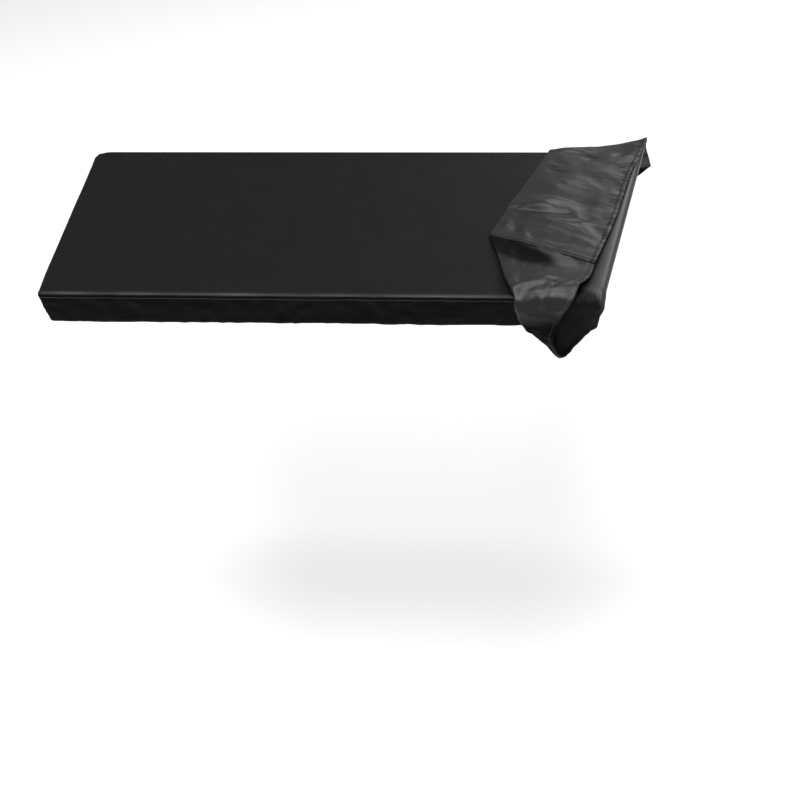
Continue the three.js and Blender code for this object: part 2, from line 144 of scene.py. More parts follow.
# How far the side folds turn round in radians, and how soon they do so on the long skirts
FULL_CURL = 3
LEAST_CURL = 0.2
CURL_OPENS = 16

# Ridges that run across the skirts: at, width, height, from, to
MAIN_RIDGES = {
    "end": [
        (0.13, 0.03, 3, 0.1, 0.75),
        (0.27, 0.05, 3, 0.02, 0.62),
        (0.36, 0.03, -3, 0.2, 0.9),
        (0.62, 0.05, 3, 0.3, 1),
        (0.83, 0.11, -4.5, 0.1, 1),
    ],
    "front": [(0.7, 0.04, 3, 0.1, 1), (0.9, 0.03, 2.5, 0.2, 0.9)],
    "back": [],
}

# Creases listed in the flat cloth: from and to, along its seam and down from it, then the width,
# height, bow and lean
TOP_CREASES = [
    (160, 60, 66, 116, 16, 1.6, 3, 0),
    (150, 84, 60, 132, 9, -1, 3, 0),
    (40, 12, 60, 70, 10, 1, -4, 0),
    (250, 30, 300, 60, 14, 0.8, 3, 0),
]
FRONT_CREASES = [
    (961, 26, 946, 126, 6, -4.5, 0, 0.3),
    (958, 36, 951, 96, 2.4, 2.4, 0, 0),
    (941, 60, 936, 150, 14, 2, 4, 0),
    (902, 86, 914, 150, 3.4, -2.6, -5, 0.2),
    (909, 92, 924, 158, 4.5, 2.4, -5, 0),
    (920, 110, 932, 160, 2.8, -1.6, -4, 0),
    (912, 146, 948, 172, 3.4, -2.2, 2, 0.2),
    (899, 92, 875, 186, 13, 1.6, 0, 0),
    (899, 92, 875, 186, 4, 0.9, 0, 0),
    (915, 96, 905, 172, 16, -2.5, 0, 0),
    (868, 118, 846, 150, 5, 1.4, 2, 0),
    (856, 112, 832, 132, 4, -1.2, -2, 0),
    (325, 3, 342, 34, 4, 1.3, 2, 0.3),
    (318, 6, 333, 36, 4, -0.8, 2, 0),
    (96, 6, 84, 40, 6, 1.1, -2, 0),
    (512, 8, 498, 36, 6, 0.9, 2, 0),
    (606, 6, 622, 38, 5, 1, 2, 0),
    (208, 8, 196, 38, 5, 0.8, -2, 0),
]

# Painted shadow on the folded end of the front skirt, in the deep fold under its corner seam, where the cloth
# turns dull and dark: a row like a crease, with a strength for its height
FRONT_PAINTED_SHADOW = [(974, -60, 947, 136, 9, 2.2, 0, 0)]

BACK_CREASES = [
    (930, 90, 1020, 120, 9, 2.5, 4, 0),
    (905, 70, 960, 110, 6, -2, 3, 0),
    (300, 10, 322, 60, 6, 1.2, 2, 0),
    (610, 12, 585, 66, 7, 1.2, -2, 0),
]
END_CREASES = [
    (75, -8, 86, 98, 13, 4.2, 2, -0.5),
    (69, 30, 80, 104, 4.5, -2.4, 3, 0),
    (58, 68, 70, 132, 2.4, -2, 1, 0),
    (50, 52, 56, 136, 7, 2.2, 0, 0),
    (36, 13, 31, 34, 5.5, 3.2, 0, 0),
    (24, 28, 20, 50, 4, -2.2, 0, 0),
    (60, 10, 52, 30, 2.6, 1.6, 0, 0),
    (66, 12, 76, 30, 2, -1.4, 0, 0),
    (46, 34, 4, 72, 3, 1.4, 3, 0),
    (226, 24, 214, 80, 4, -2.4, -8, 0.2),
    (214, 72, 240, 130, 4.5, -2.4, 4, 0),
    (217, 80, 232, 116, 8, 2.4, 2, 0),
    (202, 112, 211, 143, 2.6, -2.4, 0, 0),
    (196, 20, 186, 48, 3, 1.4, 2, 0),
    (182, 22, 170, 60, 3, -1.2, 2, 0),
    (138, 54, 150, 76, 2, 1.1, 0, 0),
    (150, 54, 138, 74, 2, 0.9, 0, 0),
    (150, 20, 120, 70, 16, 1.8, 6, 0),
    (68, 134, 76, 158, 3.4, -2.4, 0, 0),
    (34, 120, 30, 160, 5, 1.6, 0, 0),
    (16, 90, 24, 124, 3, -1.2, 1, 0),
    (2, 88, 10, 118, 3, -1.2, 0, 0),
    (60, 44, 200, 66, 34, 2.6, 6, 0),
]

# Over what part of their seams the long skirts turn from dull to glossy, with a brighter colour that is
# painted light
FRONT_GLOSS_AND_PAINTED_LIGHT_FROM = (868, 898)
BACK_GLOSS_AND_PAINTED_LIGHT_FROM = (820, 865)

# Seams, hems and stitches: how far they lie from the seam, the hem or the corner, and how wide they are
SEAM_STITCHES = 4.4
END_SEAM_STITCHES = 11.6
HEM_STITCHES = 5.6
HEM_DOUBLED_TO = (6.2, 7)
HEM_GROOVE_WIDTH = 0.8
HEM_GROOVE_SHARE = 0.3
HEM_EDGE = 0.9
HEM_EDGE_SHARE = 0.35
LIP_FROM_SEAM = 1.6
LIP_WIDTH = 1.3
CORNER_SEAM = 3.6
CORNER_LIPS = (1.6, 5.6)
CORNER_LIP_HEIGHT = 1.3
CORNER_LIP_WIDTH = 1.2
END_GROOVE_DEPTH = 0.8
END_LINE_WIDTH = 0.9
# How much of its gloss and painted light the end skirt loses along its stitch lines and corner seams, where
# it turns duller and darker
END_LINE_DULL = 0.85

# Over what distance from a seam, a hem, a corner or an end the soft relief sets in or dies out, over how many
# stations it does so before the fold, and over what shares of its length a crease does
WIDE_GATHERS_FROM = (6, 40)
FINE_GATHERS_FROM = (8, 60)
CALM_BELOW = (26, 42)
CALM_AT_CORNER = (85, 25)
CALM_AT_HEM = 15
LEFT_END_CALM = (2, 20)
TOP_CALM = (4, 40)
STATIONS_TO_FOLD = 40
CREASE_BEGINS = (-0.1, 0.3)
CREASE_ENDS = (0.65, 1.1)

# Broad swells of the top: height, length along the cover and across it, and seed
TOP_SWELLS = [(0.9, 130, 90, 5), (0.25, 34, 50, 8)]
TOP_LIPS = 0.15

# The painted highlight and the gloss on the top's rounded edges: its width, and how strong it is on the left
# edge beside the front one
SHEEN_WIDTH = 2.2
LEFT_SHEEN = 0.4

# A stitch's rings, at shares of its length with shares of its width, and how far it stands out
STITCH_RINGS = [(0, 0.35), (0.14, 1), (0.86, 1), (1, 0.35)]
STITCH_SIDES = 6
STITCH_STAND = 0.2

# How far the roughness of the cloth varies with its fine crinkles
UNEVEN_ROUGHNESS = 0.14

# The studio: the floor's size, and each light's place and size, in metres
FLOOR_SIZE = 40
KEY_LIGHT = ((-0.5, -0.1, 4.0), 3.0)
FRONT_LIGHT = ((-0.3, -2.5, 3.2), 1.5)
BACK_LIGHT = ((1.4, 2.9, 2.0), 1.8)

# The camera, from the photo's perspective
CAMERA_PLACE = (0.2298, -1.6115, 0.9287)
CAMERA_ANGLES = (37.684, -5.014, -2.284)
CAMERA_LENS = 59.24
CAMERA_SENSOR = 36

# Rows of the sheets: how far from a seam or a hem the close rows lie, and how many cells there are between
SEAM_ROWS = np.array([0, 0.5, 1.1, 1.8, 2.8, 4, 5.5])
HEM_ROWS = np.array([9, 7.6, 6.9, 6.3, 5.6, 4.4, 3.2, 2, 1, 0.4, 0])
SHORT_PATH = 30
HANG_CELLS = 18
TURN_CELLS = 12
HEM_CELLS = 26
FINE_STEPS = 240
TOP_ROWS = 90
END_ROWS = 230
LEFT_ROWS = 90
MAIN_CELLS = 169
FOLD_CELLS = 16
FOLDED_CELLS = 80
CLOSER_AT_FOLD = 1.3
COST_OF_TURNING = 9
NOISE_CELLS = 97

# How round the left edge is in section and the back left corner from above, and which angle is sharp
CORNER_ROUND = 3.5
CORNER_TURN = 22
SHARP_ANGLE = math.radians(65)

# Stations along the cover: shares of the covering part, of the fold's turn and of the folded-back part
MAIN_LENGTH = 740
MAIN_STARTS = SEAM_ROWS / MAIN_LENGTH
MAIN_SHARES = np.append(MAIN_STARTS, np.linspace(MAIN_STARTS[-1], 1, MAIN_CELLS + 1)[1:])
FOLD_SHARES = np.linspace(0, 1, FOLD_CELLS + 1)[1:]
FOLDED_SHARES = np.linspace(0, 1, FOLDED_CELLS + 1)[1:] ** CLOSER_AT_FOLD

# The profile that the cover lies on
RIGHT_ANGLE = math.pi / 2
PROFILE_STEP = 0.25
PROFILE_FROM = -140
PROFILE_TO = 520
PROFILE_S = np.arange(PROFILE_FROM, PROFILE_TO + PROFILE_STEP, PROFILE_STEP)
TOP_CORNERS = [(0, RIGHT_ANGLE - TOP_SLOPE), (DEPTH, RIGHT_ANGLE + TOP_SLOPE)]
BOTTOM_CORNERS = [(-FRONT_DROP, RIGHT_ANGLE), (DEPTH + BACK_DROP, RIGHT_ANGLE)]


def lerp(a, b, share):
    """The value a share of the way from a to b."""
    return a + (b - a) * share


def smooth(value, low, high):
    """0 below low, 1 above high, and an even curve between."""
    share = np.clip((value - low) / (high - low), 0, 1)
    return share * share * (3 - 2 * share)


def ridge(distance, width):
    """The even section of a ridge: 1 on its line, and nearly 0 past twice its width."""
    return np.exp(-((distance / width) ** 2))


def walk_profile(corners, heading):
    """The y, z and angle of a profile at each of PROFILE_S, with its front face on y = 0."""
    angle = np.full_like(PROFILE_S, heading)
    for at, corner in corners:
        angle -= corner * np.clip((PROFILE_S - at) / (EDGE_ROUND * corner) + 0.5, 0, 1)
    y = np.append(0, np.cumsum(np.cos(angle[:-1]))) * PROFILE_STEP
    z = np.append(0, np.cumsum(np.sin(angle[:-1]))) * PROFILE_STEP
    y -= np.interp(-FRONT_DROP / 2, PROFILE_S, y)
    middle_y, middle_z = (np.interp(DEPTH / 2, PROFILE_S, v) for v in (y, z))
    return y, z + middle_y * math.tan(TOP_SLOPE) - middle_z, angle


HANGING = walk_profile(TOP_CORNERS, RIGHT_ANGLE)
DRAWN_IN = walk_profile(TOP_CORNERS + BOTTOM_CORNERS, 2 * RIGHT_ANGLE)


def place(spots, profile=HANGING):
    """The points in space of spots of the cloth."""
    x, s, lift = np.moveaxis(np.asarray(spots, float), -1, 0)
    nearest = np.minimum(np.abs(s), np.abs(s - DEPTH))
    close = np.sin(np.pi * np.clip(lift / EDGE_STAND_BELOW, 0, 1))
    lift = lift + EDGE_STAND * close * ridge(nearest, EDGE_STAND_WIDTH)
    y, z, angle = (np.interp(s, PROFILE_S, values) for values in profile)
    return np.stack([x, y - lift * np.sin(angle), z + lift * np.cos(angle)], -1)


ORIGIN = place(MOUNT)


def spots_of(x, s, lift):
    """One array of spots from arrays or numbers that go together."""
    return np.stack(np.broadcast_arrays(x, s, lift), -1).astype(float)


def read_rows(rows, names, at):
    """Reads a table of sections at any place between its rows, smoothly."""
    table = np.array(rows, float)
    places = table[:, 0]
    upper = np.clip(np.searchsorted(places, at, side="right"), 1, len(places) - 1)
    lower = upper - 1
    before = np.where(lower == 0, upper, lower - 1)
    after = np.where(upper == len(places) - 1, lower, upper + 1)
    span = places[upper] - places[lower]
    share = (at - places[lower]) / span
    pull_before = span / 2 / (places[lower] - places[before])
    pull_after = span / 2 / (places[after] - places[upper])
    square, cube = share**2, share**3
    leaving = pull_before * (cube - 2 * square + share)
    arriving = pull_after * (cube - square)
    middle = cube - 1.5 * square - 0.5 * share
    weights = [
        (before, -leaving), (lower, leaving + middle + 1), (upper, -arriving - middle), (after, arriving)
    ]
    read = sum(table[index] * weight[:, None] for index, weight in weights)
    return dict(zip(names, read.T))


def spread(path, cells, start_rows=(0,), end_rows=(0,)):
    """Spots along each path, in close rows at its two ends and closer together where it bends."""
    fine = np.linspace(0, 1, FINE_STEPS + 1)
    points = place(path(fine[None, :]))
    runs = np.diff(points, axis=1)
    lengths = np.linalg.norm(runs, axis=2)
    ways = runs / np.maximum(lengths, 1e-9)[..., None]
    bends = np.arccos(np.clip((ways[:, 1:] * ways[:, :-1]).sum(2), -1, 1))
    costs = lengths + COST_OF_TURNING * np.pad(bends, ((0, 0), (1, 0)))
    shares = []
    for length, cost in zip(lengths, costs):
        length = np.append(0, np.cumsum(length))
        cost = np.append(0, np.cumsum(cost))
        scale = min(1, length[-1] / SHORT_PATH)
        start = np.interp(np.array(start_rows) * scale, length, fine)
        end = np.interp(length[-1] - np.array(end_rows) * scale, length, fine)
        limits = np.interp([start[-1], end[0]], fine, cost)
        middle = np.interp(np.linspace(*limits, cells + 1)[1:-1], cost, fine)
        shares.append(np.concatenate([start, middle, end]))
    return path(np.array(shares))


def end_seam(share):
    """The end seam of the folded-back top, at shares of its length from the front."""
    x, s = (lerp(front, back, share) for front, back in zip(SEAM_FRONT, SEAM_BACK))
    return spots_of(x, s, SEAM_LIFT)


def end_side(share):
    """The side fold next to the end seam."""
    seam = end_seam(share)
    way = lerp(SIDE_WAY_FRONT, SIDE_WAY_BACK, share**SIDE_WAY_BEND)
    angle = np.radians(way)
    return {
        "side_x": seam[..., 0] + SEAM_TO_SIDE * np.cos(angle),
        "side_s": seam[..., 1] + SEAM_TO_SIDE * np.sin(angle),
        "side_lift": np.full_like(share, SEAM_LIFT + END_TURN),
        "way": way,
        "turn": np.full_like(share, END_TURN),
    }


def side_row(at, share, whole_turns):
    """The row that ends a long skirt's table of sides at the corner seam."""
    side = {name: float(value[0]) for name, value in end_side(np.array([float(share)])).items()}
    side["way"] += 360 * whole_turns
    return (at, *(side[name] for name in SIDE_NAMES[1:]))


def ridge_lift(ridges, at, across):
    """The rise of the main ridges at places along and across a skirt."""
    total = np.zeros(np.broadcast_shapes(at.shape, across.shape))
    for place_at, width, height, begin, end in ridges:
        run = np.clip((across - begin) / (end - begin), 0, 1)
        total += height * ridge(at - place_at, width) * np.sin(np.pi * run) ** 2
    return total


def folded_sections(seam, row, curl, at, ridges):
    """Sections of the folded-back end: from the seam out to the side fold, round it, and back to the hem."""
    way = np.radians(row["way"])
    out_x, out_s = np.cos(way), np.sin(way)
    turn = row["turn"]
    rise = turn * (1 - np.cos(curl))
    start = spots_of(row["side_x"] - out_x * turn, row["side_s"] - out_s * turn, row["side_lift"] - rise / 2)
    hem = spots_of(row["hem_x"], row["hem_s"], row["hem_lift"])

    def straight(share):
        share = np.broadcast_to(share, (len(seam), share.shape[1]))
        return lerp(seam[:, None], start[:, None], share[..., None])

    def round_side(share):
        angle = curl[:, None] * share
        reach = turn[:, None] * np.sin(angle)
        x = start[:, None, 0] + out_x[:, None] * reach
        s = start[:, None, 1] + out_s[:, None] * reach
        return spots_of(x, s, start[:, None, 2] + turn[:, None] * (1 - np.cos(angle)))

    top = round_side(np.ones((1, 1)))[:, 0]

    def to_hem(share):
        share = np.broadcast_to(share, (len(seam), share.shape[1]))
        spots = lerp(top[:, None], hem[:, None], share[..., None])
        stand = row["belly"][:, None] * np.sin(np.pi * share)
        spots[..., 2] += stand + ridge_lift(ridges, at[:, None], share)
        return spots

    out = spread(straight, HANG_CELLS, start_rows=SEAM_ROWS)
    turned = round_side(np.linspace(0, 1, TURN_CELLS + 1)[None, 1:])
    back = spread(to_hem, HEM_CELLS, end_rows=HEM_ROWS)[:, 1:]
    return np.concatenate([out, turned, back], axis=1)


def fold_centre(s):
    """Where along the cover the centre line of the round fold lies."""
    return lerp(FOLD_FRONT_X, FOLD_BACK_X, s / DEPTH) - FOLD_RADIUS


def folded_top(depth_share, share):
    """Spots of the doubled top between the fold (0) and the end seam (1)."""
    s = DEPTH * depth_share
    fold = spots_of(fold_centre(s), s, 2 * FOLD_RADIUS)
    spots = lerp(fold, end_seam(depth_share), np.asarray(share)[..., None])
    settled = smooth(np.hypot(*(spots - fold)[..., :2].T).T, 0, SETTLE_WIDTH)
    spots[..., 2] = lerp(2 * FOLD_RADIUS, SEAM_LIFT, settled)
    return spots


def fold_turn(centre, s, share):
    """Spots of the round fold at shares of its turn."""
    angle = np.pi * np.asarray(share)
    return spots_of(centre + FOLD_RADIUS * np.sin(angle), s, FOLD_RADIUS * (1 - np.cos(angle)))


def edge_drop(from_edge):
    """How far the cloth bends down at its left edge."""
    inside = np.clip(1 - from_edge / CORNER_ROUND, 0, 1)
    return CORNER_ROUND * (1 - np.sqrt(1 - inside**2))


def edge_to_edge(rows):
    """Places from the front edge to the back edge of the top, in close rows at both."""
    between = np.linspace(SEAM_ROWS[-1], DEPTH - SEAM_ROWS[-1], rows)[1:-1]
    return np.concatenate([SEAM_ROWS, between, DEPTH - SEAM_ROWS[::-1]])


class Cloth:
    """A panel's middle surface as a net of points, with its flat sizes along its seam and down from it.

    On the top, along runs from its front edge to its back edge, and down from its left edge to the end seam.
    """

    def __init__(self, points, outside):
        self.points = round_corner(points)
        self.outside = outside
        self.along = np.zeros(points.shape[:2])
        self.along[1:] = np.linalg.norm(np.diff(self.points[:, 0], axis=0), axis=1).cumsum()[:, None]
        self.down = np.zeros(points.shape[:2])
        self.down[:, 1:] = np.linalg.norm(np.diff(self.points, axis=1), axis=2).cumsum(axis=1)
        self.from_hem = self.down[:, -1:] - self.down
        self.find_normals()

    def find_normals(self):
        """Works out which way is out at each point."""
        across = np.gradient(self.points, axis=1)
        along = np.gradient(self.points, axis=0)
        normals = self.outside * np.cross(along, across)
        self.normals = normals / np.maximum(np.linalg.norm(normals, axis=2), 1e-9)[..., None]

    def raise_by(self, height):
        """Moves the cloth out by a height at each point."""
        self.points = self.points + self.normals * height[..., None]
        self.find_normals()

    def line_at(self, distances, thickness):
        """The points and the normals of the outer surface, at a distance down from the seam for each row."""
        surface = self.points + self.normals * thickness[..., None] / 2
        found = []
        for net in (surface, self.normals):
            rows = zip(distances, self.down, net)
            line = [[np.interp(far, down, side) for side in row.T] for far, down, row in rows]
            found.append(np.array(line))
        return found


def top_points():
    """The top panel: the part that covers, the round fold, and the doubled part under the end skirt."""
    s = edge_to_edge(TOP_ROWS)[:, None]
    main_x = lerp(LEFT_END, fold_centre(s), MAIN_SHARES[None])
    main = spots_of(main_x, s, -edge_drop(main_x - LEFT_END))
    turn = fold_turn(fold_centre(s), s, FOLD_SHARES[None])
    doubled = np.stack([folded_top(share, FOLDED_SHARES) for share in s[:, 0] / DEPTH])
    return place(np.concatenate([main, turn, doubled], axis=1))


def round_corner(points):
    """Rounds the back left corner, seen from above, of any of the panels that meet there."""
    back = place((0, DEPTH + FRONT_DROP / 2, 0))[1]
    across = np.maximum((LEFT_END + CORNER_TURN - points[..., 0]) / CORNER_TURN, 0)
    behind = np.maximum((points[..., 1] - back + CORNER_TURN) / CORNER_TURN, 0)
    far = np.maximum(np.hypot(across, behind), 1e-9)
    pull = CORNER_TURN * (1 - np.maximum(across, behind) / far)
    turned = points.copy()
    turned[..., 0] += pull * across
    turned[..., 1] -= pull * behind
    return turned


def skirt_distances(drop, pulled_out):
    """How far down a long skirt its rows lie, from a fully drawn-in hem (0) to the short hanging one (1)."""
    bend = EDGE_ROUND * RIGHT_ANGLE / 2
    hang = lerp(drop - bend, drop - FRONT_DROP + FOLD_HANG["hang"], pulled_out)
    turned = lerp(drop + bend, drop - FRONT_DROP + FOLD_HANG["bend"], pulled_out)
    hem = lerp(drop + TUCK, drop - FRONT_DROP + FOLD_HANG["hem"], pulled_out)
    hem_rows = HEM_ROWS * min(1, (hem - turned) / SHORT_PATH)
    return np.concatenate([
        SEAM_ROWS,
        np.linspace(SEAM_ROWS[-1], hang, HANG_CELLS + 1)[1:],
        np.linspace(hang, turned, TURN_CELLS + 1)[1:],
        np.linspace(turned, hem - hem_rows[0], HEM_CELLS + 1)[1:-1],
        hem - hem_rows,
    ])


def long_skirt_points(way, drop, sides, hems, ridges):
    """The front (way -1) or back (way 1) skirt, from the left corner to the folded one."""
    edge = 0 if way < 0 else DEPTH
    centre = float(fold_centre(edge))
    edge_y = place((0, edge + way * FRONT_DROP / 2, 0))[1]
    columns = []
    for x in lerp(LEFT_END, centre, MAIN_SHARES):
        pulled_out = float(smooth(x, FOLD_TAPER_FROM, centre))
        near_end = np.clip((x - LEFT_END) / (FOLD_TAPER_FROM - LEFT_END), 0, 1)
        far = skirt_distances(drop, pulled_out)
        lift = -edge_drop(x - LEFT_END)
        points = place(spots_of(x - FOLD_LEAN * far * pulled_out, edge + way * far, lift), DRAWN_IN)
        underneath = np.where(far > drop, np.maximum(way * (edge_y - points[:, 1]), 0), 0)
        points[:, 0] += (END_INSET * np.minimum(far / drop, 1) + underneath) * (1 - near_end)
        columns.append(points)
    far = skirt_distances(drop, 1)
    for turn in FOLD_SHARES:
        columns.append(place(fold_turn(centre - FOLD_LEAN * far, edge + way * far, turn)))
    at = FOLDED_SHARES
    row = {**read_rows(sides, SIDE_NAMES, at), **read_rows(hems, HEM_NAMES, at)}
    seam = folded_top(edge / DEPTH, at)
    curl = np.minimum(FULL_CURL, LEAST_CURL + CURL_OPENS * at)
    folded = place(folded_sections(seam, row, curl, at, ridges))
    return np.concatenate([np.stack(columns), folded])


def front_skirt_points():
    """The front skirt, whose far side meets the end seam at the front corner."""
    sides = FRONT_SIDES + [side_row(1, 0, -1)]
    hems = FRONT_HEMS + [(1, *END_HEMS[0][1:])]
    return long_skirt_points(-1, FRONT_DROP, sides, hems, MAIN_RIDGES["front"])


def back_skirt_points():
    """The back skirt, whose far side meets the end seam at the back corner."""
    sides = BACK_SIDES + [side_row(1, 1, 0)]
    hems = BACK_HEMS + [END_HEMS[-1]]
    return long_skirt_points(1, BACK_DROP, sides, hems, MAIN_RIDGES["back"])


def right_skirt_points():
    """The end skirt lies over the doubled top, from the end seam to the hem that opens to the right."""
    at = edge_to_edge(END_ROWS) / DEPTH
    row = {**end_side(at), **read_rows(END_HEMS, HEM_NAMES, at)}
    curl = np.full_like(at, FULL_CURL)
    return place(folded_sections(end_seam(at), row, curl, at, MAIN_RIDGES["end"]))


def left_skirt_points():
    """The left skirt hangs from the top's left edge, between the ends of the long skirts."""
    bottom_x = LEFT_END + END_INSET
    hem_x = bottom_x + TUCK
    bottom_z = place((0, -FRONT_DROP - TUCK, 0), DRAWN_IN)[2]
    front_y = CORNER_ROUND - place((0, -FRONT_DROP / 2, 0))[1]
    back_y = place((0, DEPTH + FRONT_DROP / 2, 0))[1] - CORNER_ROUND
    middle, half = (front_y + back_y) / 2, (back_y - front_y) / 2
    angle = RIGHT_ANGLE * np.linspace(0, 1, TURN_CELLS + 1)[1:]
    bend_x, bend_z = bottom_x + EDGE_ROUND * (1 - np.cos(angle)), bottom_z + EDGE_ROUND * (1 - np.sin(angle))
    tuck_x = np.linspace(bottom_x + EDGE_ROUND, hem_x - HEM_ROWS[0], HEM_CELLS + 1)[1:-1]
    tuck_x = np.append(tuck_x, hem_x - HEM_ROWS)
    columns = []
    for s in edge_to_edge(LEFT_ROWS):
        _, top_y, top_z = place((LEFT_END, s, -CORNER_ROUND))
        top_y = np.clip(top_y, front_y, back_y)
        below_seam = np.linspace(top_z - SEAM_ROWS[-1], bottom_z + EDGE_ROUND, HANG_CELLS + 1)[1:]
        hang_z = np.append(top_z - SEAM_ROWS, below_seam)
        hang_x = LEFT_END + END_INSET * (top_z - hang_z) / (top_z - bottom_z)
        x = np.concatenate([hang_x, bend_x, tuck_x])
        z = np.concatenate([hang_z, bend_z, np.full_like(tuck_x, bottom_z)])
        underneath = np.maximum(x - bottom_x, 0)
        y = middle + (top_y - middle) * (half - underneath) / half
        columns.append(np.stack([x, y, z], axis=-1))
    return np.stack(columns)


def soft_noise(u, v, seed):
    """Smooth uneven values from -1 to 1, whose bumps are one unit wide."""
    table = np.random.default_rng(seed).uniform(-1, 1, (NOISE_CELLS, NOISE_CELLS))
    u, v = np.broadcast_arrays(u, v)
    low_u, low_v = np.floor(u).astype(int), np.floor(v).astype(int)
    share_u, share_v = (share**3 * (share * (share * 6 - 15) + 10) for share in (u - low_u, v - low_v))
    corners = [[table[(low_u + a) % NOISE_CELLS, (low_v + b) % NOISE_CELLS] for a in (0, 1)] for b in (0, 1)]
    return lerp(lerp(*corners[0], share_u), lerp(*corners[1], share_u), share_v)


def creases(cloth, rows):
    """The rise of listed creases: from and to in the flat cloth, width, height, bow and lean."""
    total = np.zeros_like(cloth.along)
    for along_0, down_0, along_1, down_1, width, height, bow, lean in rows:
        run_along, run_down = along_1 - along_0, down_1 - down_0
        length = math.hypot(run_along, run_down)
        from_along, from_down = cloth.along - along_0, cloth.down - down_0
        share = (from_along * run_along + from_down * run_down) / length**2
        off = (from_down * run_along - from_along * run_down) / length - 4 * bow * share * (1 - share)
        fade = smooth(share, *CREASE_BEGINS) * (1 - smooth(share, *CREASE_ENDS))
        total += height * fade * ridge(off, width * (1 + lean * np.tanh(off / width)))
    return total


def gathers(cloth, pitch, height, reach, seed):
    """Uneven folds that an elastic hem draws into the cloth, square to the hem."""
    wander = soft_noise(cloth.along / (3 * pitch), cloth.from_hem / (2 * reach), seed)
    fold = soft_noise(cloth.along / pitch + wander, cloth.from_hem / (3 * reach), seed + 1)
    uneven = 0.75 + 0.5 * soft_noise(cloth.along / (5 * pitch), 0, seed + 2)
    return height * uneven * (0.45 - np.abs(fold)) * 2 * np.exp(-((cloth.from_hem / reach) ** 1.3))


def gathers_at_seam(cloth, pitch, height, reach, seed):
    """Short uneven puckers that a seam draws into the cloth."""
    fold = soft_noise(cloth.along / pitch, cloth.down / (2 * reach), seed)
    reaches = reach * (1 + 0.6 * soft_noise(cloth.along / (2 * pitch), 0, seed + 1))
    return height * fold * (1 - np.exp(-cloth.down / 1.5)) * ridge(cloth.down, reaches)


def crumple(cloth, widths, height, seed):
    """Faint wrinkles in all directions, in two or more widths."""
    total = np.zeros_like(cloth.down)
    u, v = cloth.along * 0.8 + cloth.down * 0.6, cloth.down * 0.8 - cloth.along * 0.6
    for index, width in enumerate(widths):
        bend = soft_noise(u / (2 * width), v / (2 * width), seed + 10 * index)
        fold = soft_noise(u / width + bend, v / (1.7 * width) - bend, seed + 10 * index + 1)
        total += width * (0.35 - np.abs(fold))
    return height * total / sum(widths)


def seam_lips(distance, height):
    """The rounded lips on both sides of a seam, which lies in the valley between them."""
    return height * ridge(distance - LIP_FROM_SEAM, LIP_WIDTH)


def cloth_thickness(cloth, sizes, hem=True):
    """The cloth's thickness at each point, with its doubled hem and rounded edge."""
    thickness = np.full_like(cloth.down, sizes.thickness / MILLIMETRE)
    if hem:
        doubled = 1 - smooth(cloth.from_hem, *HEM_DOUBLED_TO)
        thickness += doubled * (sizes.hem_thickness - sizes.thickness) / MILLIMETRE
        thickness *= 1 - HEM_GROOVE_SHARE * ridge(cloth.from_hem - HEM_STITCHES, HEM_GROOVE_WIDTH)
        thickness *= lerp(HEM_EDGE_SHARE, 1, np.sqrt(np.clip(cloth.from_hem / HEM_EDGE, 0, 1)))
    return thickness


def add_piece(name, mesh):
    """Adds a finished mesh to the scene."""
    mesh.update()
    piece = bpy.data.objects.new(name, mesh)
    bpy.context.scene.collection.objects.link(piece)
    return piece


def make_sheet(name, cloth, thickness, materials, satin=None):
    """A closed thin body on both sides of the cloth, with its flat sizes as its UV map."""
    rows, columns = cloth.points.shape[:2]
    half = cloth.normals * thickness[..., None] / 2
    points = np.concatenate([(cloth.points + half).reshape(-1, 3), (cloth.points - half).reshape(-1, 3)])
    outer = np.arange(rows * columns).reshape(rows, columns)
    inner = outer + rows * columns

    def quads(a, b, c, d):
        return np.stack([a, b, c, d], axis=-1).reshape(-1, 4)

    faces = np.concatenate([
        quads(outer[:-1, :-1], outer[:-1, 1:], outer[1:, 1:], outer[1:, :-1]),
        quads(inner[:-1, :-1], inner[1:, :-1], inner[1:, 1:], inner[:-1, 1:]),
        quads(outer[0, 1:], outer[0, :-1], inner[0, :-1], inner[0, 1:]),
        quads(outer[-1, :-1], outer[-1, 1:], inner[-1, 1:], inner[-1, :-1]),
        quads(outer[1:, -1], outer[:-1, -1], inner[:-1, -1], inner[1:, -1]),
        quads(outer[:-1, 0], outer[1:, 0], inner[1:, 0], inner[:-1, 0]),
    ])
    if cloth.outside > 0:
        faces = faces[:, ::-1]
    mesh = bpy.data.meshes.new(name)
    mesh.from_pydata(((points - ORIGIN) * MILLIMETRE).tolist(), [], faces.tolist())
    for material in materials:
        mesh.materials.append(material)
    cells = (rows - 1) * (columns - 1)
    lining = np.zeros(len(faces), int)
    lining[cells : 2 * cells] = 1
    mesh.polygons.foreach_set("material_index", lining)
    flat = np.stack([cloth.along, cloth.down], axis=-1).reshape(-1, 2) * MILLIMETRE
    flat = np.concatenate([flat, flat])
    corners = np.zeros(len(mesh.loops), int)
    mesh.loops.foreach_get("vertex_index", corners)
    mesh.uv_layers.new(name="flat").data.foreach_set("uv", flat[corners].ravel())
    # Each point's share of gloss and painted light, for the outside and the inside
    shares = np.zeros((2, rows, columns)) if satin is None else np.array(satin)
    mesh.attributes.new("satin", "FLOAT", "POINT").data.foreach_set("value", shares.ravel())
    mesh.shade_smooth()
    mesh.set_sharp_from_angle(angle=SHARP_ANGLE)
    return add_piece(name, mesh)


def read_line(values, far, distance):
    """The point or the way at a distance along a line, whose values lie as far along it as far says."""
    return Vector([np.interp(distance, far, side) for side in values.T])


